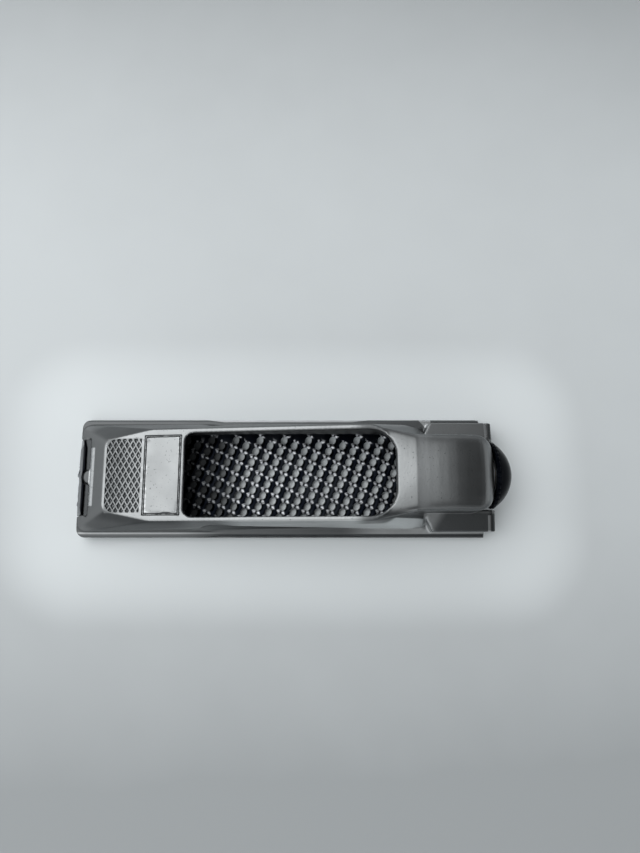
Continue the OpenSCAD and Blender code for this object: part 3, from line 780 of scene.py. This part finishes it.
def cut_out(shell, outline):
    """Removes the part of the flat sheet inside a convex outline, run anticlockwise."""
    corners = [Vector((x, y, 0)) for x, y in outline]
    low = [min(c[k] for c in corners) for k in (0, 1)]
    high = [max(c[k] for c in corners) for k in (0, 1)]

    def touches(face, k):
        places = [v.co[k] for v in face.verts]
        return max(places) > low[k] and min(places) < high[k]

    def near():
        return [f for f in shell.faces if touches(f, 0) and touches(f, 1)]

    walls = []
    for a, b in zip(corners, corners[1:] + corners[:1]):
        way = (b - a).normalized()
        walls.append((a, Vector((way.y, -way.x, 0))))
    for point, normal in walls:
        faces = near()
        edges = list({e for f in faces for e in f.edges})
        verts = list({v for f in faces for v in f.verts})
        bmesh.ops.bisect_plane(
            shell, geom=verts + edges + faces, plane_co=point, plane_no=normal, dist=1e-7
        )
    inside = [
        f for f in near()
        if all((f.calc_center_median() - point).dot(normal) < 0 for point, normal in walls)
    ]
    bmesh.ops.delete(shell, geom=inside, context="FACES")


def cut_box(shell, x0, x1, y0, y1):
    cut_out(shell, [(x0, y0), (x1, y0), (x1, y1), (x0, y1)])


# The strip is trimmed while flat: floor and flanges full width, curl and tongue
# narrower
beyond = 0.03
curl_turn = math.radians(167)
curl_line = curl_radius - strip_thickness / 2
sheet_front = curl_axis.x - curl_turn * curl_line
floor_front = curl_axis.x + 0.0012
floor_rear = nose + 0.1419
tongue_bend = nose + 0.1318
bend_radius = 0.0008
bend_line = bend_radius + strip_thickness / 2
tongue_straight = 0.0107
sheet_rear = tongue_bend + tongue_straight + math.pi / 2 * bend_line
flange_foot = 0.01925
curl_half = 0.0131
tongue_half = 0.0085
slit = 0.0003
trim(sheet, (sheet_front, 0, 0), (-1, 0, 0))
trim(sheet, (sheet_rear, 0, 0), (1, 0, 0))
trim(sheet, (0, flange_foot, 0), (0, 1, 0))
trim(sheet, (0, -flange_foot, 0), (0, -1, 0))
for side in (-1, 1):
    for x0, x1, inner, outer in (
        (sheet_front - 0.001, floor_front, curl_half, beyond),
        (tongue_bend, floor_rear + 0.01, tongue_half, tongue_half + slit),
        (floor_rear, floor_rear + 0.01, tongue_half, beyond),
    ):
        cut_box(sheet, x0, x1, *sorted((side * inner, side * outer)))

# The notch that takes the nose boss, drawn on the flat strip, and the half-round
# notch that straddles the bolt
boss_offset = 0.0016
boss_notch = 0.0036
notch_start, notch_end = math.radians(167.5), math.radians(146)
notch = []
for turn in np.linspace(notch_start, notch_end, 7):
    reach = curl_radius * math.sin(turn) + boss_offset
    half = math.sqrt(max(0, boss_notch**2 - reach**2))
    notch.append((curl_axis.x - turn * curl_line, half))
notch[-1] = (notch[-1][0], 0.0002)
cut_out(sheet, [(x, -y) for x, y in notch] + [(x, y) for x, y in notch[::-1]])
bolt_notch = 0.0033
circle = np.linspace(0, 2 * math.pi, 25)[:-1]
cut_out(sheet, [(sheet_rear + bolt_notch * math.cos(a), bolt_notch * math.sin(a)) for a in circle])

# The long edges turn up into flanges, a little rippled by the punching
for vert in sheet.verts:
    vert.co.z += floor_top
bend_steps = 4
inner_bend = 0.0008
flange_height = 0.0038
flange_front = nose + 0.00604
flange_rear = nose + 0.142
flange_ripple = 0.00018
for side in (-1, 1):
    rim = [
        e for e in sheet.edges
        if e.is_boundary and all(abs(v.co.y - side * flange_foot) < 1e-6 for v in e.verts)
    ]
    for step in range(1, bend_steps + 3):
        grown = bmesh.ops.extrude_edge_only(sheet, edges=rim)["geom"]
        rim = [g for g in grown if isinstance(g, bmesh.types.BMEdge)]
        angle = math.pi / 2 * min(step, bend_steps) / bend_steps
        rise = max(0, step - bend_steps) / 2
        for vert in (g for g in grown if isinstance(g, bmesh.types.BMVert)):
            wave = 0.5 + 0.5 * math.cos((vert.co.x - nose) / row_pitch * math.pi)
            stand = flange_foot + inner_bend * math.sin(angle)
            vert.co.y = side * (stand - flange_ripple * wave * rise)
            vert.co.z = floor_top + inner_bend * (1 - math.cos(angle))
            vert.co.z += (flange_height - floor_top - inner_bend) * rise
            if step == 2 and vert.co.x < floor_front + 1e-6:
                vert.co.x = flange_front
            if step == 2 and vert.co.x > floor_rear - 1e-6:
                vert.co.x = flange_rear

# The front end curls up and back, and the rear tongue stands up
for vert in sheet.verts:
    x, y, z = vert.co
    if x < curl_axis.x and abs(y) < flange_foot - 0.001:
        turn = (curl_axis.x - x) / curl_line
        reach = curl_axis.z - z
        vert.co.x = curl_axis.x - reach * math.sin(turn)
        vert.co.z = curl_axis.z - reach * math.cos(turn)
    if x > tongue_bend and abs(y) < tongue_half + 1e-5:
        turn = min((x - tongue_bend) / bend_line, math.pi / 2)
        vert.co.x = tongue_bend + bend_radius * math.sin(turn)
        vert.co.z = floor_top + bend_radius * (1 - math.cos(turn))
        vert.co.z += x - tongue_bend - turn * bend_line

bmesh.ops.recalc_face_normals(sheet, faces=sheet.faces)
if sum(f.normal.z * f.calc_area() for f in sheet.faces) < 0:
    bmesh.ops.reverse_faces(sheet, faces=sheet.faces)
mesh = bpy.data.meshes.new("blade")
sheet.to_mesh(mesh)
sheet.free()
blade = new_object("blade", mesh, steel.material)
wall = blade.modifiers.new("thickness", "SOLIDIFY")
wall.thickness = strip_thickness
wall.offset = -1
blade = baked(blade, "blade")
for vert in blade.data.vertices:
    vert.co.z = max(vert.co.z, 0)
    vert.co.x = max(vert.co.x, nose)
shade_smooth(blade.data)
blade.data.set_sharp_from_angle(angle=math.radians(38))
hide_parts("rasp_blade")
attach(blade, "blade")

# Tension knob
# A glossy black moulding, turned by hand to pull the blade tight: a low dome with
# a notched skirt round its foot, open at the back round a hub for its nut.
knob_foot = nose + 0.1425
knob_height = 0.0071
knob_radius = 0.0112
dome_radius = 0.0129
bolt_height = 0.013
grips, grip_depth = 36, 0.00035
segments = grips * 6

section = [(0.0031, 0.0055), (0.0031, 0.0048), (0.0059, 0.0048), (0.0059, 0.0006),
           (0.0073, 0.0006), (0.0073, 0.0024), (0.0095, 0.0024), (0.0096, 0.0002), (0.0098, 0.0)]
notched = [(0.0110, 0.0), (0.0112, 0.0002), (0.0112, 0.0009), (0.0110, 0.0011)]
dome_start = math.asin((knob_radius - 0.0004) / dome_radius)
dome = [(0.01085, 0.0011), (0.01082, 0.0009)] + [
    (dome_radius * math.sin(a), knob_height - dome_radius + dome_radius * math.cos(a))
    for a in np.linspace(dome_start, 0.02, 26)
]
lathe = bmesh.new()
rings = []
for radius, height in section + notched + dome:
    depth = grip_depth if (radius, height) in notched else 0
    ring = []
    for k in range(segments):
        angle = 2 * math.pi * k / segments
        r = radius - depth * max(0, math.cos(angle * grips)) ** 3
        ring.append(lathe.verts.new(
            (knob_foot + height, r * math.cos(angle), bolt_height + r * math.sin(angle))
        ))
    rings.append(ring)
for first, second in zip(rings, rings[1:]):
    for k in range(segments):
        m = (k + 1) % segments
        lathe.faces.new((first[k], first[m], second[m], second[k]))
lathe.faces.new(rings[0])
lathe.faces.new(rings[-1])
bmesh.ops.recalc_face_normals(lathe, faces=lathe.faces)
mesh = bpy.data.meshes.new("knob")
lathe.to_mesh(mesh)
lathe.free()
gloss = Finish("black_moulding", Specular_IOR_Level=0.03)
haze = gloss.place.noise(260, 4)
brushed = gloss.place.noise(1800, 2, (3, 1, 1))
black, hazy = (0.0016, 0.0022, 0.0038, 1), (0.0034, 0.0044, 0.0068, 1)
gloss.feed("Base Color", haze.between(0.45, 0.75).blend(black, hazy))
gloss.feed("Roughness", haze * 0.15 + 0.12)
gloss.feed("Normal", brushed.bump(0.000008))
knob = new_object("knob", mesh, gloss.material)
shade_smooth(knob.data)
knob.data.set_sharp_from_angle(angle=math.radians(32))
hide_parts("tension_knob")
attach(knob, "knob")

# Nut, washer, bolt and yoke plate
# Plain fasteners inside the palm end: a brass hexagon moulded into the knob, and
# a zinc-plated washer, round-headed bolt and punched plate.


def metal(name, scale, pale, dark, rough=None):
    """A bare metal that clouds over from one colour to the other."""
    finish = Finish(name, Metallic=1.0, Roughness=0.3)
    clouds = finish.place.noise(scale, 4)
    finish.feed("Base Color", clouds.between(0.4, 0.7).blend(pale, dark))
    if rough:
        finish.feed("Roughness", clouds * rough[0] + rough[1])
    return finish


def coat(node, finish):
    mesh = nodes[node].data
    mesh.materials.clear()
    mesh.materials.append(finish.material)


pale_zinc, dark_zinc = (0.52, 0.54, 0.56, 1), (0.4, 0.42, 0.44, 1)
brass = metal("turned_brass", 400, (0.62, 0.44, 0.2, 1), (0.42, 0.29, 0.13, 1), (0.25, 0.22))
plated = metal("zinc_plating", 700, pale_zinc, dark_zinc, (0.3, 0.2))
thread = metal("zinc_thread", 700, pale_zinc, dark_zinc)
thread_pitch = 0.001
thread_along = thread.place.parts()[0]
ridge = (thread_along * (2 * math.pi / thread_pitch)).maths("SINE")
threaded = thread_along.between(0.0578, 0.058)
thread.feed("Normal", (ridge * threaded).bump(0.0003))
coat("knob_nut", brass)
coat("thrust_washer", plated)
coat("yoke_plate", plated)
coat("tension_bolt", thread)
